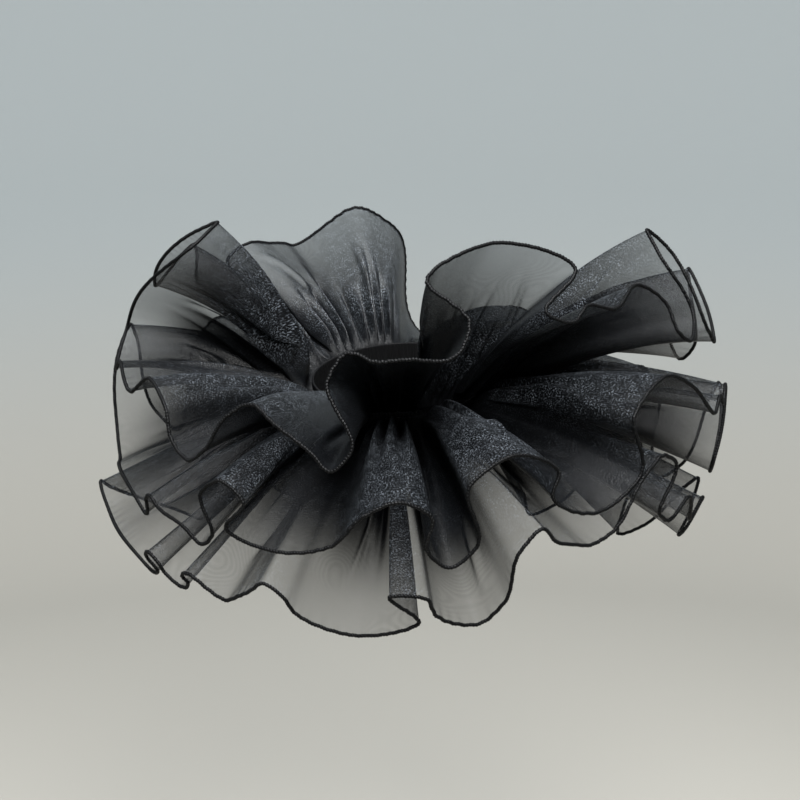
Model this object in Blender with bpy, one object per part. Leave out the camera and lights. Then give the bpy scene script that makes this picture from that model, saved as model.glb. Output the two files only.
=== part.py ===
"""A ruffled collar of black organza: a neck band with three deep ruffles gathered onto it.

Metres, +Z up. The wearer faces -Y and the wearer's left is +X. The origin is the middle of the neck
opening. Each ruffle is one long strip, sewn to the band along its upper edge, whose corded hem stands
in flutes all round. A ruffle's hem is drawn on a map of bearing and rise, as its folds are seen from
the neck: bearing is measured round the neck from the front, positive to the wearer's left, and rise
up from the level of the band. Both are in degrees.
"""

from collections import namedtuple
from math import ceil, cos, radians, sin

import bmesh
import bpy
import numpy as np

# The neck band
NECK_TILT = 8.0            # degrees: the front of the band lies lower than the back
BAND_RADIUS = 0.0655       # outer face
BAND_WALL = 0.0015
BAND_HEIGHT = 0.022
BAND_SIDES = 72
BAND_ROUNDING = 0.0004     # the ribbon's folded edges
BAND_COLOUR = (0.012, 0.012, 0.014, 1.0)
BAND_ROUGHNESS = 0.55

# The ruffles
WALL = 0.0010              # thickness of the cloth's solid
SEAM_GAP = 0.0003          # between the band and each ruffle
SEWN_LENGTH = 0.004        # how far a ruffle stands straight out of the band
SEWN_STEPS = 1
DEPTH_STEPS = 4            # from the gathers to the hem
DEPTH_CROWDING = 1.5       # above 1, the steps are shorter near the gathers
ARCH = 0.007               # how far the cloth bows up between band and hem
GATHER_SPAN = 0.9          # hem length, in metres, that one stitch of the seam averages over
TURN_SAMPLES = 3           # wall sections on each half of a fold
LEG_STEP = 9.0             # degrees between wall sections on the run to the next fold
REACH_BEARING = 110.0      # the side where the ruffles reach furthest
CLOTH_ROUGHNESS = 0.4
KNOTS_PER_FOLD = 3         # two shoulders and the turn between them
SHARP_ANGLE = 50.0         # edges sharper than this are not shaded smooth

Fold = namedtuple("Fold", "bearing rise half_width height lean")
Ruffle = namedtuple("Ruffle", "name seam_height reach reach_swing folds colour")

# A fold is one turn of the hem: its middle, half its width, and its height, which is negative where
# the hem turns at the bottom. lean turns it anticlockwise on the map.
UPPER_FOLDS = (
    Fold(-176, -3, 8.0, 4.0, 0),
    Fold(-160, -8, 5.0, -6.0, 0),
    Fold(-139, 30, 9.0, 8.0, 0),
    Fold(-124, 27, 3.0, -1.5, 0),
    Fold(-111, 27, 6.0, 3.0, -10),
    Fold(-103, 17, 5.0, -4.0, 0),
    Fold(-87, 33, 4.0, 4.0, 0),
    Fold(-77, 29, 4.0, -4.0, 0),
    Fold(-46, 57, 5.0, 5.0, 0),
    Fold(-52, 13, 8.0, -5.0, 0),
    Fold(-24, 9, 7.5, 6.0, 0),
    Fold(-10, 2, 4.5, -4.0, 0),
    Fold(4, 11, 5.0, 4.0, 0),
    Fold(19, 5, 3.2, -4.0, 0),
    Fold(22.5, 24.5, 4.5, 4.0, 20),
    Fold(37, 30, 7.0, -4.5, 30),
    Fold(52, 44, 16.0, 9.5, -5),
    Fold(62.5, 33.5, 4.5, -3.0, 0),
    Fold(80, 30, 7.5, 5.0, -10),
    Fold(92, 21, 3.8, -3.0, 0),
    Fold(99, 40, 3.0, 5.0, 0),
    Fold(109, 16, 5.0, -4.0, 0),
    Fold(124, 20, 5.0, 6.0, 0),
    Fold(138, 2, 6.0, -5.0, 0),
    Fold(155, 1, 6.0, 5.0, 0),
    Fold(169, -9, 4.0, -5.0, 0),
)

MIDDLE_FOLDS = (
    Fold(-172, -22, 7.0, 6.0, 0),
    Fold(-156, -34, 6.0, -6.0, 0),
    Fold(-140, -8, 8.0, 7.0, 0),
    Fold(-122, -22, 7.0, -7.0, 0),
    Fold(-106, 0, 7.0, 6.0, 0),
    Fold(-88, -16, 6.0, -8.0, 0),
    Fold(-70, 11, 5.0, 5.0, 0),
    Fold(-52, -14, 6.0, -3.0, -15),
    Fold(-29, -18, 3.5, -4.0, 0),
    Fold(-22.5, -16, 2.5, 2.5, 0),
    Fold(-9, -18, 4.0, -4.0, 0),
    Fold(-1, -6, 4.5, 4.0, 0),
    Fold(9, -14.5, 10.0, -3.5, 0),
    Fold(30, -6, 5.0, 3.0, 0),
    Fold(38.5, -15, 3.8, -4.5, 0),
    Fold(48.5, 1, 7.0, 5.0, 0),
    Fold(63, -4, 8.5, -6.0, 0),
    Fold(79, 10, 8.5, 5.5, 0),
    Fold(96, 4, 3.5, -2.5, 0),
    Fold(106.5, 1, 3.0, 3.0, 0),
    Fold(107, -14, 3.5, -3.5, 0),
    Fold(120, -6, 5.0, 5.0, 0),
    Fold(135, -26, 7.0, -7.0, 0),
    Fold(152, -14, 7.0, 6.0, 0),
    Fold(168, -32, 5.0, -6.0, 0),
)

LOWER_FOLDS = (
    Fold(-170, -42, 7.0, 6.0, 0),
    Fold(-152, -52, 6.0, -6.0, 0),
    Fold(-136, -34, 6.0, 6.0, 0),
    Fold(-119, -46, 6.0, -6.0, 0),
    Fold(-103, -28, 6.0, 6.0, 0),
    Fold(-86, -42, 6.0, -6.0, 0),
    Fold(-53, -24, 6.0, 4.5, 0),
    Fold(-25.5, -29, 4.0, -3.0, 0),
    Fold(-21, -26, 2.2, 2.5, 0),
    Fold(-15, -28.5, 3.5, -3.0, 0),
    Fold(-10, -26.5, 2.2, 1.5, 0),
    Fold(-3, -28, 3.5, -2.5, 0),
    Fold(7, -25, 3.0, 3.0, 0),
    Fold(22.5, -30.5, 11.0, -6.0, -3),
    Fold(32.5, -26, 5.0, 3.0, -38),
    Fold(43, -29.5, 5.0, -4.0, 20),
    Fold(52.5, -12.5, 3.0, 4.0, 0),
    Fold(62, -14, 3.0, -1.0, 0),
    Fold(76, -2, 4.0, 3.0, 0),
    Fold(82, -13, 4.5, -3.5, 0),
    Fold(99, -22, 4.0, 3.0, 0),
    Fold(106, -29, 4.0, -4.0, 0),
    Fold(118, -28, 5.0, 5.0, 0),
    Fold(134, -43, 6.0, -6.0, 0),
    Fold(150, -30, 6.0, 6.0, 0),
    Fold(167, -50, 6.0, -6.0, 0),
)

RUFFLES = (
    Ruffle("ruffle_upper", 0.006, 0.162, 0.014, UPPER_FOLDS, (0.030, 0.032, 0.036, 1.0)),
    Ruffle("ruffle_middle", 0.000, 0.168, 0.014, MIDDLE_FOLDS, (0.024, 0.026, 0.030, 1.0)),
    Ruffle("ruffle_lower", -0.006, 0.178, 0.004, LOWER_FOLDS, (0.020, 0.022, 0.026, 1.0)),
)


def clear_scene():
    for thing in list(bpy.data.objects):
        bpy.data.objects.remove(thing, do_unlink=True)


def make_material(name, colour, roughness):
    material = bpy.data.materials.new(name)
    material.use_nodes = True
    shader = material.node_tree.nodes["Principled BSDF"]
    shader.inputs["Base Color"].default_value = colour
    shader.inputs["Roughness"].default_value = roughness
    shader.inputs["Metallic"].default_value = 0.0
    return material


def add_object(name, mesh, material):
    mesh.materials.append(material)
    mesh.shade_smooth()
    mesh.set_sharp_from_angle(angle=radians(SHARP_ANGLE))
    thing = bpy.data.objects.new(name, mesh)
    bpy.context.collection.objects.link(thing)
    return thing


def on_neck(bearing, radius, height):
    """Points of the tilted neck ring, at a radius from its axis and a height above its plane."""
    bearing = np.radians(bearing)
    tilt = radians(NECK_TILT)
    across = radius * np.sin(bearing)
    along = -radius * np.cos(bearing)
    height = height + 0 * bearing
    return np.stack(
        [across, along * cos(tilt) - height * sin(tilt), along * sin(tilt) + height * cos(tilt)],
        axis=-1,
    )


def heading(bearing, rise):
    """Unit vectors that point along a bearing and a rise."""
    bearing, rise = np.radians(bearing), np.radians(rise)
    level = np.cos(rise)
    return np.stack([np.sin(bearing) * level, -np.cos(bearing) * level, np.sin(rise)], axis=-1)


def fold_points(fold):
    """The two shoulders of a fold and the turn between them, on the map."""
    lean = radians(fold.lean)
    points = []
    for side, up in ((-1, 0), (0, 1), (1, 0)):
        across, along = side * fold.half_width, up * fold.height
        points.append((
            fold.bearing + across * cos(lean) - along * sin(lean),
            fold.rise + across * sin(lean) + along * cos(lean),
        ))
    return points


def hem_map(ruffle, turn_samples, leg_step):
    """The hem as one closed smooth line of (bearing, rise), which goes once round the neck.

    A cubic joins each two knots. Its slope at a knot is the mean of the runs on both sides, with more
    weight for the shorter one.
    """
    knots = np.array([point for fold in ruffle.folds for point in fold_points(fold)])
    lap = np.array([360.0, 0.0])
    knots = np.concatenate([knots[-1:] - lap, knots, knots[:2] + lap])
    runs = np.diff(knots, axis=0)
    lengths = np.linalg.norm(runs, axis=1, keepdims=True)
    rates = runs / lengths
    slopes = (lengths[1:] * rates[:-1] + lengths[:-1] * rates[1:]) / (lengths[1:] + lengths[:-1])
    line = []
    for i in range(len(slopes) - 1):
        length = lengths[i + 1]
        on_leg = i % KNOTS_PER_FOLD == KNOTS_PER_FOLD - 1
        samples = ceil(length[0] / leg_step) if on_leg else turn_samples
        share = np.arange(samples)[:, None] / samples
        line.append(
            (2 * share**3 - 3 * share**2 + 1) * knots[i + 1]
            + (share**3 - 2 * share**2 + share) * slopes[i] * length
            + (3 * share**2 - 2 * share**3) * knots[i + 2]
            + (share**3 - share**2) * slopes[i + 1] * length
        )
    return np.concatenate(line)


def hem_points(ruffle, line):
    """The hem in space. It keeps the ruffle's reach from the band."""
    bearing, rise = line[:, 0], line[:, 1]
    swing = np.cos(np.radians(bearing - REACH_BEARING))
    reach = ruffle.reach + ruffle.reach_swing * swing
    root = on_neck(bearing, BAND_RADIUS, ruffle.seam_height)
    return root + reach[:, None] * heading(bearing, rise)


def seam_bearings(line, hem):
    """Where each part of the hem is gathered on the band: the mean bearing of the hem round it."""
    steps = np.linalg.norm(np.roll(hem, -1, axis=0) - hem, axis=1)
    count = len(line)
    place = np.concatenate([[0.0], np.cumsum(steps)])
    total = place[-1]
    places = np.concatenate([place[:-1] - total, place[:-1], place[:-1] + total])
    laps = np.repeat([-360.0, 0.0, 360.0], count)
    bearings = np.tile(line[:, 0], 3) + laps
    area = np.concatenate([[0.0], np.cumsum((bearings[1:] + bearings[:-1]) / 2 * np.diff(places))])
    ends = [np.interp(place[:-1] + side * GATHER_SPAN / 2, places, area) for side in (-1, 1)]
    return (ends[1] - ends[0]) / GATHER_SPAN


def ruffle_grid(ruffle):
    """Points of the middle of the cloth: one row for each place along the hem, from seam to hem."""
    line = hem_map(ruffle, TURN_SAMPLES, LEG_STEP)
    hem = hem_points(ruffle, line)
    seam = seam_bearings(line, hem)
    sewn = BAND_RADIUS + SEAM_GAP
    columns = [
        on_neck(seam, sewn + SEWN_LENGTH * k / SEWN_STEPS, ruffle.seam_height)
        for k in range(SEWN_STEPS + 1)
    ]
    root = columns[-1]
    for k in range(1, DEPTH_STEPS + 1):
        share = (k / DEPTH_STEPS)**DEPTH_CROWDING
        bow = 4 * share * (1 - share)    # 1 halfway, and 0 at the band and the hem
        column = root + share * (hem - root)
        column[:, 2] += ARCH * bow
        columns.append(column)
    return np.stack(columns, axis=1)


def grid_normals(grid):
    """Unit normals of a grid that is closed along its first way and open along its second."""
    along = np.roll(grid, -1, axis=0) - np.roll(grid, 1, axis=0)
    down = np.gradient(grid, axis=1)
    normal = np.cross(along, down)
    return normal / np.linalg.norm(normal, axis=2, keepdims=True)


def wall_mesh(name, grid):
    """A closed wall of the cloth's thickness round a grid, capped along the seam and the hem."""
    normal = grid_normals(grid)
    sides = [grid + normal * WALL / 2, grid - normal * WALL / 2]
    count, width = grid.shape[:2]
    shape = bmesh.new()
    faces = [[[shape.verts.new(p) for p in row] for row in side] for side in sides]
    front, back = faces
    for i in range(count):
        j = (i + 1) % count
        for k in range(width - 1):
            shape.faces.new((front[i][k], front[j][k], front[j][k + 1], front[i][k + 1]))
            shape.faces.new((back[i][k], back[i][k + 1], back[j][k + 1], back[j][k]))
        shape.faces.new((front[i][0], back[i][0], back[j][0], front[j][0]))
        shape.faces.new((front[i][-1], front[j][-1], back[j][-1], back[i][-1]))
    mesh = bpy.data.meshes.new(name)
    shape.to_mesh(mesh)
    shape.free()
    return mesh


def build_band():
    """The ribbon band: a ring with a flat inner and outer face and rounded edges."""
    top, inner = BAND_HEIGHT / 2, BAND_RADIUS - BAND_WALL
    soft = BAND_ROUNDING
    profile = (
        (BAND_RADIUS, -top + soft),
        (BAND_RADIUS, top - soft),
        (BAND_RADIUS - soft, top),
        (inner + soft, top),
        (inner, top - soft),
        (inner, -top + soft),
        (inner + soft, -top),
        (BAND_RADIUS - soft, -top),
    )
    bearings = np.arange(BAND_SIDES) * 360.0 / BAND_SIDES
    rings = [on_neck(bearings, radius, height) for radius, height in profile]
    shape = bmesh.new()
    verts = [[shape.verts.new(p) for p in ring] for ring in rings]
    for ring, upper in zip(verts, verts[1:] + verts[:1]):
        for i in range(BAND_SIDES):
            j = (i + 1) % BAND_SIDES
            shape.faces.new((ring[i], ring[j], upper[j], upper[i]))
    mesh = bpy.data.meshes.new("neck_band")
    shape.to_mesh(mesh)
    shape.free()
    return add_object("neck_band", mesh, make_material("band_ribbon", BAND_COLOUR, BAND_ROUGHNESS))


def build_ruffle(ruffle):
    mesh = wall_mesh(ruffle.name, ruffle_grid(ruffle))
    material = make_material(ruffle.name + "_organza", ruffle.colour, CLOTH_ROUGHNESS)
    return add_object(ruffle.name, mesh, material)


def build():
    clear_scene()
    build_band()
    for ruffle in RUFFLES:
        build_ruffle(ruffle)


build()
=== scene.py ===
"""Looks of the black organza ruffled collar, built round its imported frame.

Metres, +Z up. The wearer faces -Y and the wearer's left is +X. Each ruffle is a thin sheet on the form
of its solid: a strip gathered on the neck band, with fine gathers, creases and a corded hem.
"""

from collections import namedtuple
from math import ceil, cos, pi, radians, sin

import bpy
import numpy as np
from mathutils import Matrix, Vector


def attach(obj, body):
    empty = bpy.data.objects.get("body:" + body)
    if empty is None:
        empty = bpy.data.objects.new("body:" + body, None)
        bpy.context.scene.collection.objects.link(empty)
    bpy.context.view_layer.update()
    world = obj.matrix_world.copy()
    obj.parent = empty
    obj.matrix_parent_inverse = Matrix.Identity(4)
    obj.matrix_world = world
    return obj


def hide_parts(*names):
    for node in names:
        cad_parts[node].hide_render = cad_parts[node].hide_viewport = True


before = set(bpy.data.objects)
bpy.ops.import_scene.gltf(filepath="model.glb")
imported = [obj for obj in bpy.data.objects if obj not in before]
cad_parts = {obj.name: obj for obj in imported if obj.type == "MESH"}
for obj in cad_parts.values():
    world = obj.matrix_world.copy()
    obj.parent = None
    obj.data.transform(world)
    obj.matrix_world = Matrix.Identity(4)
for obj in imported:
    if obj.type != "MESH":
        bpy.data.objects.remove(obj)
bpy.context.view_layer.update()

# The neck band
NECK_TILT = 8.0            # degrees: the front of the band lies lower than the back
BAND_RADIUS = 0.0655       # outer face
BAND_WALL = 0.0015
BAND_HEIGHT = 0.022
BAND_GATHERS = 150         # small tucks that the elastic draws round the casing
BAND_TUCK = 0.00035        # how deep they are
TUCK_DRIFT = 2.0           # radians that the tucks wander from even spacing
INSIDE_TUCK = 0.6          # share of a tuck's depth on the face to the neck
BAND_SEED = 11
BAND_COLUMNS = 1200        # mesh columns round it
BAND_LEVELS = 15           # mesh rows up each face
CASING_INSET = 0.0045      # of the casing's two rows of stitches, from its edges
STITCHED_WIDTH = 0.0012    # of the flattened cloth beside a row
STITCHED_FLAT = 0.75       # share of a tuck's depth that a row takes away

# The ruffles' form
SEAM_GAP = 0.0003          # between the band and each ruffle
SEWN_LENGTH = 0.004        # how far a ruffle stands straight out of the band
GATHER_SPAN = 0.9          # hem length that one stitch of the seam averages over
REACH_BEARING = 110.0      # the side where the ruffles reach furthest
FLUTE_SPAN = 0.30          # hem length that evens out the folds, which leaves the ruffle's mean form
FLUTE_POWER = 0.62         # below 1, the folds keep more of their size towards the band
FINE_STEP = 0.25           # degrees between samples of the hem before it is measured out
HEM_SPACING = 0.00155      # between the mesh's rows, along the hem
DEPTH_STEPS = 44           # mesh columns from the gathers to the hem
DEPTH_CROWDING = 1.35      # above 1, they are closer near the gathers

Fold = namedtuple("Fold", "bearing rise half_width height lean")
Ruffle = namedtuple("Ruffle", "name seam_height reach reach_swing bow folds creases seed bunched")
Crease = namedtuple("Crease", "place drift start end width height")

# The folds of each ruffle's hem, as on its solid, in degrees on the map of bearing and rise
UPPER_FOLDS = (
    Fold(-176, -3, 8.0, 4.0, 0),
    Fold(-160, -8, 5.0, -6.0, 0),
    Fold(-139, 30, 9.0, 8.0, 0),
    Fold(-124, 27, 3.0, -1.5, 0),
    Fold(-111, 27, 6.0, 3.0, -10),
    Fold(-103, 17, 5.0, -4.0, 0),
    Fold(-87, 33, 4.0, 4.0, 0),
    Fold(-77, 29, 4.0, -4.0, 0),
    Fold(-46, 57, 5.0, 5.0, 0),
    Fold(-52, 13, 8.0, -5.0, 0),
    Fold(-24, 9, 7.5, 6.0, 0),
    Fold(-10, 2, 4.5, -4.0, 0),
    Fold(4, 11, 5.0, 4.0, 0),
    Fold(19, 5, 3.2, -4.0, 0),
    Fold(22.5, 24.5, 4.5, 4.0, 20),
    Fold(37, 30, 7.0, -4.5, 30),
    Fold(52, 44, 16.0, 9.5, -5),
    Fold(62.5, 33.5, 4.5, -3.0, 0),
    Fold(80, 30, 7.5, 5.0, -10),
    Fold(92, 21, 3.8, -3.0, 0),
    Fold(99, 40, 3.0, 5.0, 0),
    Fold(109, 16, 5.0, -4.0, 0),
    Fold(124, 20, 5.0, 6.0, 0),
    Fold(138, 2, 6.0, -5.0, 0),
    Fold(155, 1, 6.0, 5.0, 0),
    Fold(169, -9, 4.0, -5.0, 0),
)

MIDDLE_FOLDS = (
    Fold(-172, -22, 7.0, 6.0, 0),
    Fold(-156, -34, 6.0, -6.0, 0),
    Fold(-140, -8, 8.0, 7.0, 0),
    Fold(-122, -22, 7.0, -7.0, 0),
    Fold(-106, 0, 7.0, 6.0, 0),
    Fold(-88, -16, 6.0, -8.0, 0),
    Fold(-70, 11, 5.0, 5.0, 0),
    Fold(-52, -14, 6.0, -3.0, -15),
    Fold(-29, -18, 3.5, -4.0, 0),
    Fold(-22.5, -16, 2.5, 2.5, 0),
    Fold(-9, -18, 4.0, -4.0, 0),
    Fold(-1, -6, 4.5, 4.0, 0),
    Fold(9, -14.5, 10.0, -3.5, 0),
    Fold(30, -6, 5.0, 3.0, 0),
    Fold(38.5, -15, 3.8, -4.5, 0),
    Fold(48.5, 1, 7.0, 5.0, 0),
    Fold(63, -4, 8.5, -6.0, 0),
    Fold(79, 10, 8.5, 5.5, 0),
    Fold(96, 4, 3.5, -2.5, 0),
    Fold(106.5, 1, 3.0, 3.0, 0),
    Fold(107, -14, 3.5, -3.5, 0),
    Fold(120, -6, 5.0, 5.0, 0),
    Fold(135, -26, 7.0, -7.0, 0),
    Fold(152, -14, 7.0, 6.0, 0),
    Fold(168, -32, 5.0, -6.0, 0),
)

LOWER_FOLDS = (
    Fold(-170, -42, 7.0, 6.0, 0),
    Fold(-152, -52, 6.0, -6.0, 0),
    Fold(-136, -34, 6.0, 6.0, 0),
    Fold(-119, -46, 6.0, -6.0, 0),
    Fold(-103, -28, 6.0, 6.0, 0),
    Fold(-86, -42, 6.0, -6.0, 0),
    Fold(-53, -24, 6.0, 4.5, 0),
    Fold(-25.5, -29, 4.0, -3.0, 0),
    Fold(-21, -26, 2.2, 2.5, 0),
    Fold(-15, -28.5, 3.5, -3.0, 0),
    Fold(-10, -26.5, 2.2, 1.5, 0),
    Fold(-3, -28, 3.5, -2.5, 0),
    Fold(7, -25, 3.0, 3.0, 0),
    Fold(22.5, -30.5, 11.0, -6.0, -3),
    Fold(32.5, -26, 5.0, 3.0, -38),
    Fold(43, -29.5, 5.0, -4.0, 20),
    Fold(52.5, -12.5, 3.0, 4.0, 0),
    Fold(62, -14, 3.0, -1.0, 0),
    Fold(76, -2, 4.0, 3.0, 0),
    Fold(82, -13, 4.5, -3.5, 0),
    Fold(99, -22, 4.0, 3.0, 0),
    Fold(106, -29, 4.0, -4.0, 0),
    Fold(118, -28, 5.0, 5.0, 0),
    Fold(134, -43, 6.0, -6.0, 0),
    Fold(150, -30, 6.0, 6.0, 0),
    Fold(167, -50, 6.0, -6.0, 0),
)

# The main creases, which run out of the gathers. A place is a share of the way round from the join at
# the back, and drift is what it gains from start to end, which are shares of the depth. Width and
# height are in metres, and a height below 0 is a trough
UPPER_CREASES = (
    Crease(0.028, 0.008, 0.22, 0.74, 0.0040, -0.0036),
    Crease(0.075, -0.010, 0.30, 0.86, 0.0080, 0.0026),
    Crease(0.118, 0.006, 0.24, 0.70, 0.0060, -0.0028),
    Crease(0.152, 0.016, 0.36, 0.92, 0.0065, -0.0026),
    Crease(0.205, -0.008, 0.30, 0.66, 0.0080, 0.0022),
    Crease(0.262, 0.006, 0.22, 0.60, 0.0060, -0.0024),
    Crease(0.331, 0.010, 0.26, 0.80, 0.0070, 0.0032),
    Crease(0.372, -0.006, 0.30, 0.72, 0.0042, -0.0034),
    Crease(0.405, 0.008, 0.34, 0.88, 0.0070, 0.0026),
    Crease(0.468, 0.004, 0.28, 0.70, 0.0080, -0.0024),
    Crease(0.516, -0.004, 0.42, 0.94, 0.0055, 0.0026),
    Crease(0.574, 0.006, 0.24, 0.64, 0.0060, -0.0024),
    Crease(0.606, 0.012, 0.30, 0.72, 0.0060, 0.0024),
    Crease(0.664, -0.014, 0.24, 0.84, 0.0038, -0.0042),
    Crease(0.702, 0.006, 0.34, 0.84, 0.0070, 0.0026),
    Crease(0.768, 0.014, 0.40, 0.86, 0.0038, -0.0038),
    Crease(0.803, -0.008, 0.26, 0.70, 0.0070, 0.0026),
    Crease(0.862, 0.006, 0.28, 0.78, 0.0040, -0.0034),
    Crease(0.918, -0.010, 0.24, 0.68, 0.0080, 0.0024),
    Crease(0.963, 0.006, 0.34, 0.90, 0.0060, -0.0024),
)

MIDDLE_CREASES = (
    Crease(0.040, -0.006, 0.26, 0.80, 0.0070, 0.0026),
    Crease(0.092, 0.008, 0.22, 0.66, 0.0060, -0.0024),
    Crease(0.150, -0.008, 0.30, 0.84, 0.0070, 0.0024),
    Crease(0.214, 0.010, 0.26, 0.74, 0.0060, -0.0028),
    Crease(0.283, 0.006, 0.32, 0.90, 0.0070, 0.0024),
    Crease(0.338, -0.008, 0.24, 0.70, 0.0060, -0.0024),
    Crease(0.381, 0.010, 0.30, 0.86, 0.0070, 0.0030),
    Crease(0.428, -0.008, 0.30, 0.80, 0.0060, -0.0030),
    Crease(0.470, 0.006, 0.40, 0.94, 0.0060, 0.0024),
    Crease(0.541, 0.002, 0.24, 0.92, 0.0050, 0.0028),
    Crease(0.570, -0.006, 0.26, 0.76, 0.0042, -0.0036),
    Crease(0.621, -0.008, 0.46, 0.90, 0.0038, -0.0036),
    Crease(0.652, 0.006, 0.28, 0.76, 0.0070, 0.0026),
    Crease(0.690, -0.008, 0.36, 0.88, 0.0060, -0.0026),
    Crease(0.735, 0.008, 0.26, 0.82, 0.0070, 0.0030),
    Crease(0.776, -0.006, 0.34, 0.90, 0.0060, -0.0026),
    Crease(0.838, 0.010, 0.24, 0.72, 0.0070, 0.0024),
    Crease(0.898, -0.008, 0.30, 0.84, 0.0042, -0.0034),
    Crease(0.956, 0.006, 0.26, 0.70, 0.0070, 0.0024),
)

LOWER_CREASES = (
    Crease(0.046, 0.008, 0.24, 0.76, 0.0070, -0.0024),
    Crease(0.108, -0.008, 0.30, 0.86, 0.0070, 0.0024),
    Crease(0.176, 0.008, 0.26, 0.70, 0.0042, -0.0034),
    Crease(0.244, -0.006, 0.32, 0.88, 0.0070, 0.0026),
    Crease(0.312, 0.010, 0.24, 0.72, 0.0060, -0.0026),
    Crease(0.362, -0.008, 0.34, 0.90, 0.0070, 0.0024),
    Crease(0.402, 0.008, 0.26, 0.74, 0.0060, -0.0028),
    Crease(0.450, -0.006, 0.40, 0.92, 0.0060, 0.0022),
    Crease(0.508, -0.010, 0.34, 0.80, 0.0040, -0.0034),
    Crease(0.566, 0.006, 0.28, 0.76, 0.0060, 0.0024),
    Crease(0.588, -0.006, 0.46, 0.94, 0.0055, -0.0024),
    Crease(0.655, 0.008, 0.26, 0.74, 0.0070, 0.0026),
    Crease(0.706, -0.008, 0.34, 0.88, 0.0060, -0.0024),
    Crease(0.772, 0.006, 0.24, 0.70, 0.0070, 0.0024),
    Crease(0.836, -0.010, 0.30, 0.84, 0.0060, -0.0026),
    Crease(0.902, 0.008, 0.26, 0.72, 0.0070, 0.0024),
    Crease(0.962, -0.006, 0.34, 0.86, 0.0060, -0.0022),
)

# Each ruffle reaches further by its swing on the side of REACH_BEARING, and less on the other. Halfway
# down it stands higher by its bow. bunched is the share of the depth where its valleys have opened
RUFFLES = (
    Ruffle("upper", 0.006, 0.162, 0.014, 0.010, UPPER_FOLDS, UPPER_CREASES, 3, 0.90),
    Ruffle("middle", 0.000, 0.168, 0.014, 0.007, MIDDLE_FOLDS, MIDDLE_CREASES, 5, 1.05),
    Ruffle("lower", -0.006, 0.178, 0.004, 0.001, LOWER_FOLDS, LOWER_CREASES, 7, 0.90),
)

# How the creases fade at their ends
CREASE_IN = 0.3            # share of its run over which a crease comes in
CREASE_OUT = 0.5           # and over which it dies away

# Gathers: folds that fan out of the seam. They lie in each other from ruffle to ruffle, so they are
# worked out as a turn of the cloth about the band, which is the same for all three
GATHERS = 66               # round the neck
GATHER_HEIGHT = 0.0048     # at their highest
GATHER_POINT = 0.22        # share of a second wave, which makes the folds pointed and uneven
GATHER_START = 0.008       # distance from the band where they begin
GATHER_PEAK = 0.034        # where they are highest
GATHER_END = 0.115         # and where most of them have died away
GATHER_SEED = 21

# Slack in the cloth, and the pucker that the hem's stitches draw
SLACK_LENGTH = 0.055
SLACK_HEIGHT = 0.0011
SLACK_MIDDLES = (0.35, 0.55, 0.75)    # shares of the depth, from the longest waves to the shortest
SLACK_SPREAD = 0.22        # share of the depth
PUCKER_PITCH = 0.0085
PUCKER_HEIGHT = 0.00045
PUCKER_REACH = 0.07        # share of the depth that it runs in from the hem

# The corded hem: a thin cord wrapped with overlock thread
CORD_RADIUS = 0.00128
CORD_SIDES = 8
CORD_STEP = 0.00055        # between its rings
STITCH_PITCH = 0.0022
STITCH_SWELL = 0.17        # how much a stitch swells the cord
THREAD_FIBRES = (2500.0, 6.0, 1.0)    # to a metre along the cord, and to a turn round it
THREAD_BLACK = (0.0004, 0.0004, 0.0005, 1.0)
# The paler fibres on top of the strands; the grooves between strands are painted darker as shade
THREAD_PALE_FIBRE = (0.0025, 0.0027, 0.0031, 1.0)

# The band's ribbon
RIB_PITCH = 0.0008
RIBBON_FIBRES = (900.0, 40.0, 1.0)    # to a metre along the ribbon, and across it
RIBBON_BLACK = (0.0008, 0.0008, 0.001, 1.0)
# The paler fibres on the ribs' tops; the furrows between ribs are painted darker as shade
RIBBON_PALE_FIBRE = (0.006, 0.0063, 0.0072, 1.0)

# Weave
THREAD_PITCH = 0.00042
THREAD_WIDTH = 0.00014
CLEAR = 0.66               # share of the light that one flat layer lets through
RING_SCALE = 22.0          # of the faint watered rings where the weave is pulled askew, per metre
RING_PHASE = 120.0         # radians of rings over the whole range of the noise that shapes them
RING_STRENGTH = 0.06       # share of the light let through that they add and take away
GLINT_SCALE = 740.0        # of the painted glints, bright specks that stand for light on the threads, per metre
PATCH_SCALE = 110.0        # of the mottling that groups them
PAINTED_SHADE_DEPTH = 0.050          # painted shade: within this of the seam, where the gathers trap the light, the glints fade and the cloth stays black
JOIN_REACH = 0.003         # of the ends that lie over each other, to each side of the join
JOIN_LAYERS = 3.0
CLOTH_BLACK = (0.0012, 0.0014, 0.0018, 1.0)
# The colour of the painted glints: bright specks that stand for light caught by the threads
CLOTH_PAINTED_GLINT = (0.098, 0.110, 0.125, 1.0)
FULL_LIFT = 0.022          # a fold that stands this far over the mean form is a full crest
GATHER_LIFT = 0.6          # share of a crest that a gather makes
BUNCHING = 2.4             # more layers of cloth in the valleys near the band
BUNCHING_FADE = 0.6        # share of the depth over which they thin out
LEAST_SLANT = 0.2          # limits how much closer the threads look where the cloth is seen aslant
SEAM_SPREAD = 0.17         # the cloth's width at the band as a share of its width at the hem
CROWDING = 2.1             # above 1, as the gathers also lie over each other

# Camera, at the photograph's angle
CAMERA_BEARING = 30.0
CAMERA_RISE = 15.0
CAMERA_DISTANCE = 1.3
PICTURE_SIZE = 800         # pixels each way
FOCAL_LENGTH = 1690.0      # pixels
ORIGIN_PIXEL = (398.0, 385.0)
SENSOR = 36.0              # millimetres
FAR_CLIP = 20.0

# Studio
FLOOR_LEVEL = -0.90
STUDIO_RADIUS = 2.6
COVE_RADIUS = 0.7
COVE_STEPS = 16
STUDIO_SIDES = 96
WALL_HEIGHT = 3.0
FLOOR_PAINT = (0.445, 0.428, 0.388, 1.0)
WALL_PAINT = (0.402, 0.437, 0.448, 1.0)
ROOM_COLOUR = (0.90, 0.95, 1.0, 1.0)
ROOM_STRENGTH = 0.22

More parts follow.
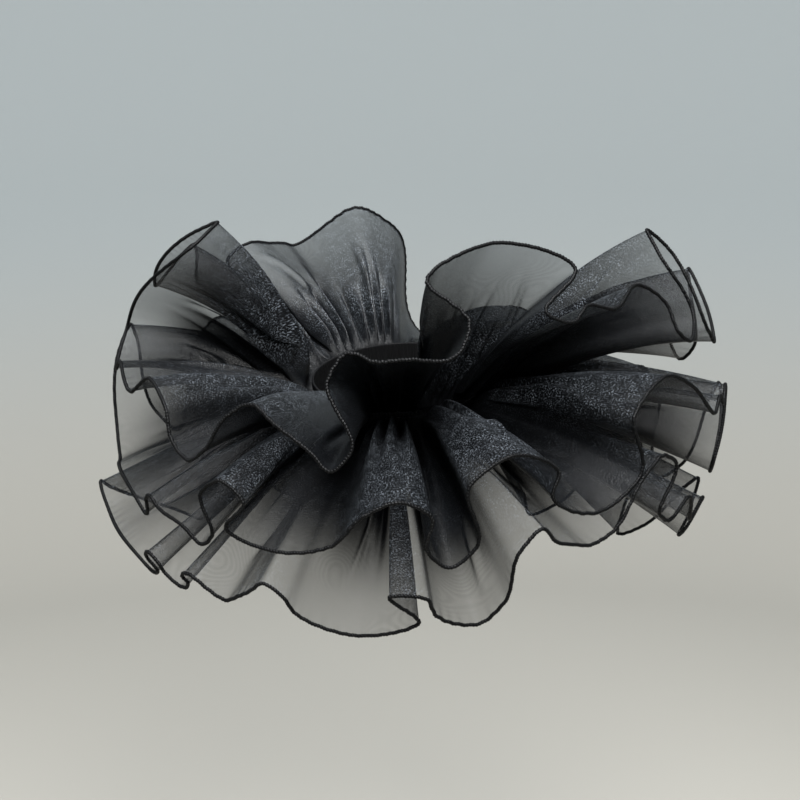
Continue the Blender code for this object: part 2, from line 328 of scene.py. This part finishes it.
# Soft round lights, each aimed at the origin, with their power in watts
Light = namedtuple("Light", "name place size power colour")
LIGHTS = (
    Light("key", (0.75, -0.95, 1.05), 0.5, 34.0, (1.0, 0.99, 0.97)),
    Light("top", (0.15, -0.45, 1.55), 0.7, 96.0, (0.97, 0.985, 1.0)),
)


def on_neck(bearing, radius, height):
    """Points of the tilted neck ring, at a radius from its axis and a height above its plane."""
    bearing = np.radians(bearing)
    tilt = radians(NECK_TILT)
    across = radius * np.sin(bearing)
    along = -radius * np.cos(bearing)
    height = height + 0 * bearing
    return np.stack(
        [across, along * cos(tilt) - height * sin(tilt), along * sin(tilt) + height * cos(tilt)],
        axis=-1,
    )


def heading(bearing, rise):
    """Unit vectors that point along a bearing and a rise."""
    bearing, rise = np.radians(bearing), np.radians(rise)
    level = np.cos(rise)
    return np.stack([np.sin(bearing) * level, -np.cos(bearing) * level, np.sin(rise)], axis=-1)


def fold_points(fold):
    """The two shoulders of a fold and the turn between them, on the map of bearing and rise."""
    lean = radians(fold.lean)
    points = []
    for side, up in ((-1, 0), (0, 1), (1, 0)):
        across, along = side * fold.half_width, up * fold.height
        points.append((
            fold.bearing + across * cos(lean) - along * sin(lean),
            fold.rise + across * sin(lean) + along * cos(lean),
        ))
    return points


def hem_map(ruffle):
    """The hem as one closed smooth line of (bearing, rise), which goes once round the neck."""
    knots = np.array([point for fold in ruffle.folds for point in fold_points(fold)])
    lap = np.array([360.0, 0.0])
    knots = np.concatenate([knots[-1:] - lap, knots, knots[:2] + lap])
    runs = np.diff(knots, axis=0)
    lengths = np.linalg.norm(runs, axis=1, keepdims=True)
    rates = runs / lengths
    slopes = (lengths[1:] * rates[:-1] + lengths[:-1] * rates[1:]) / (lengths[1:] + lengths[:-1])
    line = []
    for i in range(len(slopes) - 1):
        length = lengths[i + 1]
        samples = ceil(length[0] / FINE_STEP)
        share = np.arange(samples)[:, None] / samples
        line.append(
            (2 * share**3 - 3 * share**2 + 1) * knots[i + 1]
            + (share**3 - 2 * share**2 + share) * slopes[i] * length
            + (3 * share**2 - 2 * share**3) * knots[i + 2]
            + (share**3 - share**2) * slopes[i + 1] * length
        )
    return np.concatenate(line)


def hem_points(ruffle, line):
    """The hem in space. It keeps the ruffle's reach from the band."""
    bearing, rise = line[:, 0], line[:, 1]
    swing = np.cos(np.radians(bearing - REACH_BEARING))
    reach = ruffle.reach + ruffle.reach_swing * swing
    root = on_neck(bearing, BAND_RADIUS, ruffle.seam_height)
    return root + reach[:, None] * heading(bearing, rise)


def closed_steps(points):
    """Lengths from each point of a closed line to the next."""
    return np.linalg.norm(np.roll(points, -1, axis=0) - points, axis=1)


def evenly_spaced(line, steps, lap, spacing):
    """A closed line's points at even places by the lengths of its steps, and its whole length.

    lap is what the line's own numbers gain over one lap.
    """
    place = np.concatenate([[0.0], np.cumsum(steps)])
    closed = np.concatenate([line, line[:1] + lap])
    count = round(place[-1] / spacing)
    wanted = np.arange(count) * place[-1] / count
    return np.stack([np.interp(wanted, place, part) for part in closed.T], axis=-1), place[-1]


def seam_bearings(line, hem):
    """Where each part of the hem is gathered on the band: the mean bearing of the hem round it."""
    steps = closed_steps(hem)
    count = len(line)
    place = np.concatenate([[0.0], np.cumsum(steps)])
    total = place[-1]
    places = np.concatenate([place[:-1] - total, place[:-1], place[:-1] + total])
    laps = np.repeat([-360.0, 0.0, 360.0], count)
    bearings = np.tile(line[:, 0], 3) + laps
    area = np.concatenate([[0.0], np.cumsum((bearings[1:] + bearings[:-1]) / 2 * np.diff(places))])
    ends = [np.interp(place[:-1] + side * GATHER_SPAN / 2, places, area) for side in (-1, 1)]
    return (ends[1] - ends[0]) / GATHER_SPAN


def mean_form(hem, span):
    """The hem with its folds evened out, by a mean over that length of hem round each point."""
    count = len(hem)
    reach = round(span / 2 / closed_steps(hem).mean())
    laps = np.concatenate([hem[-reach:], hem, hem[:reach]])
    total = np.concatenate([np.zeros((1, 3)), np.cumsum(laps, axis=0)])
    return (total[2 * reach + 1:] - total[:count]) / (2 * reach + 1)


def depth_shares():
    """Shares of the depth at the mesh's columns, from the gathers to the hem."""
    return (np.arange(DEPTH_STEPS + 1) / DEPTH_STEPS)**DEPTH_CROWDING


def base_grid(ruffle, hem, middle, seam):
    """Points of the sheet before its gathers and creases: one row for each place along the hem."""
    start = on_neck(seam, BAND_RADIUS + SEAM_GAP, ruffle.seam_height)
    root = on_neck(seam, BAND_RADIUS + SEAM_GAP + SEWN_LENGTH, ruffle.seam_height)
    columns = [start]
    for share in depth_shares():
        arch = 4 * share * (1 - share)    # 1 halfway, and 0 at the band and the hem
        column = root + share * (middle - root) + share**FLUTE_POWER * (hem - middle)
        column[:, 2] += ruffle.bow * arch
        columns.append(column)
    return np.stack(columns, axis=1)


def fold_lift(ruffle, hem, middle, seam):
    """How far each part of the hem stands over the ruffle's mean form, from -1 in a valley to 1."""
    root = on_neck(seam, BAND_RADIUS, ruffle.seam_height)
    along = np.roll(middle, -1, axis=0) - np.roll(middle, 1, axis=0)
    up = np.cross(middle - root, along)
    up /= np.linalg.norm(up, axis=1, keepdims=True)
    up *= np.sign(up[:, 2:])
    return np.clip(((hem - middle) * up).sum(axis=1) / FULL_LIFT, -1.0, 1.0)


def grid_normals(grid):
    """Unit normals of a grid that is closed along its first way and open along its second."""
    along = np.roll(grid, -1, axis=0) - np.roll(grid, 1, axis=0)
    down = np.gradient(grid, axis=1)
    normal = np.cross(along, down)
    return normal / np.linalg.norm(normal, axis=2, keepdims=True)


def smooth_step(x):
    """A soft step from 0 to 1 as x goes from 0 to 1."""
    x = np.clip(x, 0.0, 1.0)
    return x * x * (3 - 2 * x)


def lap_noise(rng, laps, waves):
    """Smooth noise, about -1 to 1, at places counted in laps, with that many waves in a lap."""
    knots = max(4, round(waves * 2))
    values = rng.uniform(-1, 1, knots)
    place = (laps % 1.0) * knots
    low = np.floor(place).astype(int)
    share = smooth_step(place - low)
    return values[low % knots] * (1 - share) + values[(low + 1) % knots] * share


def gathered(grid):
    """The sheet with its gathers, and how high they lift it. Each point turns about the band."""
    rng = np.random.default_rng(GATHER_SEED)
    bearing = np.degrees(np.arctan2(grid[..., 0], -grid[..., 1]))
    laps = bearing / 360.0
    outward = heading(bearing, 0 * bearing)
    offset = grid - on_neck(bearing, BAND_RADIUS, 0.0)
    out = (offset * outward).sum(axis=-1)
    high = offset[..., 2]
    distance = np.hypot(out, high)
    drift = 1.1 * lap_noise(rng, laps, GATHERS / 6) + 0.5 * lap_noise(rng, laps, GATHERS / 2)
    phase = np.radians(bearing) * GATHERS + 2 * drift
    strength = 1.0 + 0.5 * lap_noise(rng, laps, GATHERS / 1.7)
    end = GATHER_END * (1.0 + 0.4 * lap_noise(rng, laps, GATHERS / 2.2))
    rising = smooth_step((distance - GATHER_START) / (GATHER_PEAK - GATHER_START))
    dying = smooth_step((end - distance) / (end - GATHER_PEAK))
    wave = np.sin(phase) + GATHER_POINT * np.sin(2.0 * phase + drift)
    height = GATHER_HEIGHT * strength * rising * dying * wave
    turned = np.arctan2(high, out) + height / np.maximum(distance, GATHER_START)
    moved = grid + (distance * np.cos(turned) - out)[..., None] * outward
    moved[..., 2] += distance * np.sin(turned) - high
    return moved, height


def crease_height(creases, laps, length, shares):
    """The main creases: a trough with low shoulders, or a ridge with low furrows beside it."""
    height = np.zeros((len(laps), len(shares)))
    for crease in creases:
        run = (shares - crease.start) / (crease.end - crease.start)
        middle = crease.place + crease.drift * run
        aside = (laps[:, None] - middle[None, :] + 0.5) % 1.0 - 0.5
        across = (aside * length / crease.width)**2
        fade = smooth_step(run / CREASE_IN) * smooth_step((1 - run) / CREASE_OUT)
        height += crease.height * fade[None, :] * (1 - across) * np.exp(-across)
    return height


def slack_height(rng, laps, length, shares):
    """Low broad waves where the crisp cloth is slack. Each set is shorter, lower and further down."""
    height = np.zeros((len(laps), len(shares)))
    for part, middle in enumerate(SLACK_MIDDLES):
        along = lap_noise(rng, laps, length / SLACK_LENGTH * (1 + 0.6 * part))
        across = np.exp(-((shares - middle) / SLACK_SPREAD)**2)
        height += along[:, None] * across[None, :] / (1 + part)
    return SLACK_HEIGHT * height


def pucker_height(rng, laps, length, shares):
    """Small ripples beside the hem, drawn up by its stitches, which wander and differ in height."""
    many = round(length / PUCKER_PITCH)
    drift = 0.7 * lap_noise(rng, laps, many / 3)
    wave = np.sin(2 * pi * (laps * many + drift))
    strength = 0.6 + 0.4 * lap_noise(rng, laps, many / 9)
    near = smooth_step((shares - 1 + PUCKER_REACH) / PUCKER_REACH)
    return PUCKER_HEIGHT * (wave * strength)[:, None] * near[None, :]


def ruffle_sheet(ruffle):
    """The finished sheet's grid, its columns' shares of the depth, its points' lift, and its length."""
    rng = np.random.default_rng(ruffle.seed)
    line = hem_map(ruffle)
    steps = closed_steps(hem_points(ruffle, line))
    line, length = evenly_spaced(line, steps, [360.0, 0.0], HEM_SPACING)
    hem = hem_points(ruffle, line)
    middle = mean_form(hem, FLUTE_SPAN)
    seam = seam_bearings(line, hem)
    grid = base_grid(ruffle, hem, middle, seam)
    shares = np.concatenate([[0.0], depth_shares()])
    laps = np.arange(len(line)) / len(line)
    height = slack_height(rng, laps, length, shares)
    height += pucker_height(rng, laps, length, shares)
    height += crease_height(ruffle.creases, laps, length, shares)
    height[:, 0] = 0.0
    grid, gather = gathered(grid + grid_normals(grid) * height[:, :, None])
    lift = fold_lift(ruffle, hem, middle, seam)[:, None] + GATHER_LIFT * gather / GATHER_HEIGHT
    return grid, shares, lift, length


def grid_mesh(name, grid, map_name, along, across):
    """A mesh of a grid of points that is closed along its first way, with a UV map.

    along and across are the map's places of the grid's lines, in metres or in turns. Where across has
    one place more than the grid has columns, the mesh is closed that way too.
    """
    count, width = grid.shape[:2]
    index = np.arange(count * width).reshape(count, width)
    if len(across) > width:
        index = np.concatenate([index, index[:, :1]], axis=1)
    after = np.roll(index, -1, axis=0)
    faces = np.stack([index[:, :-1], after[:, :-1], after[:, 1:], index[:, 1:]], axis=-1)
    mesh = bpy.data.meshes.new(name)
    mesh.from_pydata(grid.reshape(-1, 3), [], faces.reshape(-1, 4).tolist())
    u = np.stack([along[:-1], along[1:], along[1:], along[:-1]], axis=-1)
    v = np.stack([across[:-1], across[:-1], across[1:], across[1:]], axis=-1)
    places = np.empty((*faces.shape, 2), np.float32)
    places[..., 0] = u[:, None, :]
    places[..., 1] = v[None, :, :]
    mesh.uv_layers.new(name=map_name).data.foreach_set("uv", places.ravel())
    mesh.shade_smooth()
    return mesh


def sheet_mesh(name, grid, shares, lift, length, depth):
    """A mesh of one closed strip, with its cut laid out in metres as its UV map, and its lift."""
    along = np.arange(len(grid) + 1) * length / len(grid)
    down = np.concatenate([[0.0], SEWN_LENGTH + shares[1:] * depth])
    mesh = grid_mesh(name, grid, "Cut", along, down)
    lifts = mesh.attributes.new("Lift", "FLOAT", "POINT")
    lifts.data.foreach_set("value", lift.astype(np.float32).ravel())
    return mesh


def steady_sides(ahead):
    """Unit vectors square to a closed line's directions, which turn as little as they can."""
    first = np.cross(ahead[0], [0.0, 0.0, 1.0])
    sides = [first / np.linalg.norm(first)]
    for way in np.concatenate([ahead[1:], ahead[:1]]):
        side = sides[-1] - way * np.dot(sides[-1], way)
        sides.append(side / np.linalg.norm(side))
    back, first = sides.pop(), sides[0]
    miss = np.arctan2(np.dot(np.cross(back, first), ahead[0]), np.dot(back, first))
    sides = np.array(sides)
    turn = (miss * np.arange(len(sides)) / len(sides))[:, None]
    return np.cos(turn) * sides + np.sin(turn) * np.cross(ahead, sides)


def tube_mesh(name, line, radii, sides):
    """A closed tube round a closed line, laid out in metres along it and in turns round it."""
    ahead = np.roll(line, -1, axis=0) - np.roll(line, 1, axis=0)
    ahead /= np.linalg.norm(ahead, axis=1, keepdims=True)
    aside = steady_sides(ahead)
    over = np.cross(aside, ahead)
    turn = (np.arange(sides) * 2 * pi / sides)[None, :, None]
    around = np.cos(turn) * aside[:, None] + np.sin(turn) * over[:, None]
    points = line[:, None] + radii[:, None, None] * around
    along = np.concatenate([[0.0], np.cumsum(closed_steps(line))])
    return grid_mesh(name, points, "Wrap", along, np.arange(sides + 1) / sides)


def add_object(name, mesh, material):
    mesh.materials.append(material)
    thing = bpy.data.objects.new(name, mesh)
    bpy.context.scene.collection.objects.link(thing)
    return thing


class Nodes:
    """Short ways to add and link nodes of one material."""

    def __init__(self, name):
        self.material = bpy.data.materials.new(name)
        self.material.use_nodes = True
        self.tree = self.material.node_tree
        self.shader = self.tree.nodes["Principled BSDF"]

    def link(self, value, socket):
        if isinstance(value, bpy.types.NodeSocket):
            self.tree.links.new(value, socket)
        else:
            socket.default_value = value

    def add(self, kind, **settings):
        node = self.tree.nodes.new(kind)
        for key, value in settings.items():
            setattr(node, key, value)
        return node

    def math(self, operation, *values, clamp=False):
        node = self.add("ShaderNodeMath", operation=operation, use_clamp=clamp)
        for value, socket in zip(values, node.inputs):
            self.link(value, socket)
        return node.outputs[0]

    def map_range(self, value, low, high, new_low, new_high, smooth=False):
        node = self.add("ShaderNodeMapRange")
        if smooth:
            node.interpolation_type = "SMOOTHSTEP"
        for part, socket in zip((value, low, high, new_low, new_high), node.inputs):
            self.link(part, socket)
        return node.outputs[0]

    def uv(self, name):
        """The two places of a UV map, in its own units."""
        where = self.add("ShaderNodeUVMap", uv_map=name).outputs[0]
        apart = self.add("ShaderNodeSeparateXYZ")
        self.link(where, apart.inputs[0])
        return where, apart.outputs[0], apart.outputs[1]

    def scaled(self, vector, scale):
        node = self.add("ShaderNodeVectorMath", operation="MULTIPLY")
        self.link(vector, node.inputs[0])
        node.inputs[1].default_value = scale
        return node.outputs[0]

    def noise(self, vector, scale, detail=2.0, rough=0.5):
        node = self.add("ShaderNodeTexNoise")
        self.link(vector, node.inputs["Vector"])
        node.inputs["Scale"].default_value = scale
        node.inputs["Detail"].default_value = detail
        node.inputs["Roughness"].default_value = rough
        return node.outputs[0]

    def mixed(self, share, first, second):
        node = self.add("ShaderNodeMix", data_type="RGBA")
        self.link(share, node.inputs[0])
        self.link(first, node.inputs[6])
        self.link(second, node.inputs[7])
        return node.outputs[2]

    def bump(self, height, strength, distance):
        node = self.add("ShaderNodeBump")
        node.inputs["Strength"].default_value = strength
        node.inputs["Distance"].default_value = distance
        self.link(height, node.inputs["Height"])
        return node.outputs[0]


def organza(name, depth, length, bunched_to):
    """Sheer black plain weave: glassy threads with gaps between them, closer at the gathers.

    Less shows through where the cloth is seen aslant, as the round threads then hide the gaps, in the
    valleys near the band, where the cloth bunches, and at the join behind, where the strip's ends lie
    over each other. bunched_to is the share of the depth where the bunching ends.
    """
    made = Nodes(name)
    where, along, down = made.uv("Cut")
    weave = 1.0
    for place in (along, down):
        thread = made.math("PINGPONG", place, THREAD_PITCH / 2)
        open_share = made.map_range(thread, THREAD_WIDTH * 0.35, THREAD_WIDTH * 0.65, 0.80, 1.10)
        weave = made.math("MULTIPLY", weave, open_share)
    spread = made.map_range(down, 0.0, depth, SEAM_SPREAD, 1.0)
    slant = made.add("ShaderNodeLayerWeight").outputs["Facing"]
    level = made.math("MAXIMUM", made.math("SUBTRACT", 1.0, slant), LEAST_SLANT)
    crowd = made.math("POWER", spread, CROWDING)
    from_join = made.math("PINGPONG", along, length / 2)
    doubled = made.map_range(from_join, JOIN_REACH * 0.9, JOIN_REACH, JOIN_LAYERS, 1.0)
    lift = made.add("ShaderNodeAttribute", attribute_name="Lift").outputs["Fac"]
    valley = made.map_range(lift, -0.9, 0.2, 1.0, 0.0, smooth=True)
    bunched_from = bunched_to - BUNCHING_FADE
    near = made.map_range(down, bunched_from * depth, bunched_to * depth, BUNCHING, 0.0, smooth=True)
    more = made.math("ADD", 1.0, made.math("MULTIPLY", valley, near))
    bunched = made.math("MULTIPLY", doubled, more)
    layers = made.math("DIVIDE", bunched, made.math("MULTIPLY", crowd, level))
    ring_place = made.noise(where, RING_SCALE, detail=0.0)
    rings = made.math("SINE", made.math("MULTIPLY", ring_place, RING_PHASE))
    ringed = made.noise(where, RING_SCALE * 0.7, detail=0.0)
    ring_depth = made.map_range(ringed, 0.5, 0.62, 0.0, RING_STRENGTH)
    watered = made.math("ADD", 1.0, made.math("MULTIPLY", rings, ring_depth))
    weave = made.math("MULTIPLY", weave, watered)
    through = made.math("MULTIPLY", made.math("POWER", CLEAR, layers), weave)
    alpha = made.math("SUBTRACT", 1.0, through, clamp=True)
    made.link(alpha, made.shader.inputs["Alpha"])

    # Painted glints: bright specks in the base colour that stand for light caught on the threads,
    # mottled at random
    glints = made.noise(where, GLINT_SCALE, detail=1.0)
    patches = made.noise(where, PATCH_SCALE, detail=2.0)
    painted_glint = made.map_range(glints, 0.50, 0.70, 0.0, 1.0)
    patch = made.map_range(patches, 0.36, 0.64, 0.32, 1.0, smooth=True)
    # Painted shade near the band, where the gathers trap the light: the glints fade to nearly none
    gather_painted_shade = made.map_range(down, 0.0, PAINTED_SHADE_DEPTH, 0.02, 1.0, smooth=True)
    # Painted shade in the valleys between the folds and painted light on their crests: the glints fall
    # to 0.12 of their strength in the valleys
    painted_crest_light = made.map_range(lift, -0.6, 0.7, 0.12, 1.0, smooth=True)
    painted_light_share = made.math("MULTIPLY", painted_crest_light, made.math("MULTIPLY", patch, gather_painted_shade))
    painted_glint = made.math("MULTIPLY", painted_glint, painted_light_share)
    made.link(made.mixed(painted_glint, CLOTH_BLACK, CLOTH_PAINTED_GLINT), made.shader.inputs["Base Color"])
    made.link(made.map_range(glints, 0.4, 0.6, 0.50, 0.32), made.shader.inputs["Roughness"])
    made.link(made.bump(glints, 0.9, 0.0006), made.shader.inputs["Normal"])
    made.shader.inputs["Specular IOR Level"].default_value = 0.15
    return made.material


def hem_thread(name):
    """Black overlock thread wrapped round the cord in slanting stitches."""
    made = Nodes(name)
    where, along, around = made.uv("Wrap")
    slant = made.math("ADD", made.math("DIVIDE", along, STITCH_PITCH), around)
    strand = made.math("PINGPONG", slant, 0.5)
    groove = made.map_range(strand, 0.0, 0.16, 0.0, 1.0, smooth=True)
    fibre = made.noise(made.scaled(where, THREAD_FIBRES), 1.0)
    # Painted shade: the grooves between the strands go black, and on the strands the fibre noise mixes
    # in the paler tone
    tone = made.math("MULTIPLY", groove, fibre)
    made.link(made.mixed(tone, THREAD_BLACK, THREAD_PALE_FIBRE), made.shader.inputs["Base Color"])
    made.link(made.map_range(fibre, 0.3, 0.7, 0.35, 0.55), made.shader.inputs["Roughness"])
    made.link(made.bump(made.math("ADD", groove, fibre), 0.7, 0.0003), made.shader.inputs["Normal"])
    made.shader.inputs["Specular IOR Level"].default_value = 0.10
    return made.material


def band_ribbon(name):
    """Black grosgrain ribbon: fine ribs across it, with a soft lustre."""
    made = Nodes(name)
    where, along, across = made.uv("Wrap")
    rib = made.math("PINGPONG", along, RIB_PITCH / 2)
    height = made.map_range(rib, 0.0, RIB_PITCH / 2, 0.0, 1.0, smooth=True)
    fibre = made.noise(made.scaled(where, RIBBON_FIBRES), 1.0, detail=3.0)
    # Painted shade: the furrows between the ribs go black, and on the ribs the fibre noise mixes in the
    # paler tone
    tone = made.math("MULTIPLY", height, fibre)
    made.link(made.mixed(tone, RIBBON_BLACK, RIBBON_PALE_FIBRE), made.shader.inputs["Base Color"])
    made.link(made.map_range(fibre, 0.3, 0.7, 0.40, 0.60), made.shader.inputs["Roughness"])
    made.link(made.bump(height, 0.6, 0.0003), made.shader.inputs["Normal"])
    made.shader.inputs["Specular IOR Level"].default_value = 0.1
    return made.material


def studio_paint(name, floor, wall):
    """Pale paint that turns from the floor's tone to the wall's over the cove."""
    made = Nodes(name)
    place = made.add("ShaderNodeTexCoord").outputs["Object"]
    apart = made.add("ShaderNodeSeparateXYZ")
    made.link(place, apart.inputs[0])
    up = made.map_range(apart.outputs[2], FLOOR_LEVEL, FLOOR_LEVEL + COVE_RADIUS, 0.0, 1.0, smooth=True)
    made.link(made.mixed(up, floor, wall), made.shader.inputs["Base Color"])
    made.shader.inputs["Roughness"].default_value = 0.9
    made.shader.inputs["Specular IOR Level"].default_value = 0.1
    return made.material


def build_ruffle(ruffle, thread):
    """The sheet and its corded hem, which stand for the ruffle's solid."""
    grid, shares, lift, length = ruffle_sheet(ruffle)
    depth = ruffle.reach
    name = "organza_" + ruffle.name
    mesh = sheet_mesh(name, grid, shares, lift, length, depth)
    sheet = add_object(name, mesh, organza(name, depth, length, ruffle.bunched))
    edge, _ = evenly_spaced(grid[:, -1], closed_steps(grid[:, -1]), [0.0, 0.0, 0.0], CORD_STEP)
    place = np.arange(len(edge)) * CORD_STEP
    swell = 1 + STITCH_SWELL * np.cos(2 * pi * place / STITCH_PITCH)
    hem_name = "hem_" + ruffle.name
    hem = add_object(hem_name, tube_mesh(hem_name, edge, CORD_RADIUS * swell, CORD_SIDES), thread)
    for piece in (sheet, hem):
        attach(piece, "root")
    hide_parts("ruffle_" + ruffle.name)


def build_band(ribbon):
    """The elastic casing: a ribbon ring drawn up in small tucks, with two sewn rows."""
    top, inner = BAND_HEIGHT / 2, BAND_RADIUS - BAND_WALL
    laps = np.arange(BAND_COLUMNS) / BAND_COLUMNS
    drift = lap_noise(np.random.default_rng(BAND_SEED), laps, BAND_GATHERS / 4)
    tuck = np.sin(2 * pi * laps * BAND_GATHERS + TUCK_DRIFT * drift)
    levels = np.linspace(-top, top, BAND_LEVELS)
    from_row = np.abs(levels) - top + CASING_INSET
    free = 1 - STITCHED_FLAT * np.exp(-(from_row / STITCHED_WIDTH)**2)
    rings = []
    for level, share in zip(levels, free):
        rings.append(on_neck(360.0 * laps, BAND_RADIUS + BAND_TUCK * (tuck * share - 1), level))
    for level, share in zip(levels[::-1], free):
        inside = inner + INSIDE_TUCK * BAND_TUCK * (tuck * share + 1)
        rings.append(on_neck(360.0 * laps, inside, level))
    grid = np.stack(rings, axis=1)
    along = np.arange(BAND_COLUMNS + 1) * 2 * pi * BAND_RADIUS / BAND_COLUMNS
    across = np.arange(len(rings) + 1) * BAND_HEIGHT / BAND_LEVELS
    band = add_object("band_casing", grid_mesh("band_casing", grid, "Wrap", along, across), ribbon)
    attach(band, "root")
    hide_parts("neck_band")


def build_studio():
    """A round pale studio: a floor that curves up into a wall all round."""
    profile = [(0.0, FLOOR_LEVEL), (STUDIO_RADIUS - COVE_RADIUS, FLOOR_LEVEL)]
    for k in range(1, COVE_STEPS + 1):
        turn = pi / 2 * k / COVE_STEPS
        radius = STUDIO_RADIUS - COVE_RADIUS * (1 - sin(turn))
        profile.append((radius, FLOOR_LEVEL + COVE_RADIUS * (1 - cos(turn))))
    profile.append((STUDIO_RADIUS, FLOOR_LEVEL + WALL_HEIGHT))
    verts, faces = [], []
    for radius, level in profile:
        for k in range(STUDIO_SIDES):
            turn = 2 * pi * k / STUDIO_SIDES
            verts.append((radius * cos(turn), radius * sin(turn), level))
    for row in range(len(profile) - 1):
        for k in range(STUDIO_SIDES):
            here, beside = row * STUDIO_SIDES + k, row * STUDIO_SIDES + (k + 1) % STUDIO_SIDES
            faces.append((here, beside, beside + STUDIO_SIDES, here + STUDIO_SIDES))
    mesh = bpy.data.meshes.new("studio")
    mesh.from_pydata(verts, [], faces)
    mesh.shade_smooth()
    studio = add_object("studio", mesh, studio_paint("studio_paint", FLOOR_PAINT, WALL_PAINT))


def build_lights():
    """A dim even room, and the soft lights."""
    world = bpy.data.worlds.new("soft_room")
    world.use_nodes = True
    room = world.node_tree.nodes["Background"]
    room.inputs["Color"].default_value = ROOM_COLOUR
    room.inputs["Strength"].default_value = ROOM_STRENGTH
    bpy.context.scene.world = world
    for light in LIGHTS:
        data = bpy.data.lights.new(light.name, "AREA")
        data.shape = "DISK"
        data.size = light.size
        data.energy = light.power
        data.color = light.colour
        lamp = bpy.data.objects.new(light.name, data)
        bpy.context.scene.collection.objects.link(lamp)
        lamp.location = light.place
        lamp.rotation_mode = "QUATERNION"
        lamp.rotation_quaternion = (-Vector(light.place)).to_track_quat("-Z", "Y")


def build_camera():
    """The camera at the photograph's angle. Its frame puts the origin on ORIGIN_PIXEL."""
    bearing, rise = radians(CAMERA_BEARING), radians(CAMERA_RISE)
    back = Vector((sin(bearing) * cos(rise), -cos(bearing) * cos(rise), sin(rise)))
    right = Vector((cos(bearing), sin(bearing), 0.0))
    up = back.cross(right)
    middle = PICTURE_SIZE / 2
    across = (ORIGIN_PIXEL[0] - middle) / FOCAL_LENGTH * CAMERA_DISTANCE
    above = (middle - ORIGIN_PIXEL[1]) / FOCAL_LENGTH * CAMERA_DISTANCE
    data = bpy.data.cameras.new("camera")
    data.sensor_width = SENSOR
    data.lens = FOCAL_LENGTH / PICTURE_SIZE * SENSOR
    data.clip_end = FAR_CLIP
    camera = bpy.data.objects.new("camera", data)
    bpy.context.scene.collection.objects.link(camera)
    place = back * CAMERA_DISTANCE - right * across - up * above
    turned = Matrix((right, up, back)).transposed().to_4x4()
    camera.matrix_world = Matrix.Translation(place) @ turned
    bpy.context.scene.camera = camera


def build():
    build_camera()
    build_band(band_ribbon("ribbon"))
    thread = hem_thread("overlock_thread")
    for ruffle in RUFFLES:
        build_ruffle(ruffle, thread)
    build_studio()
    build_lights()
    bpy.context.scene.view_settings.view_transform = "Standard"


build()
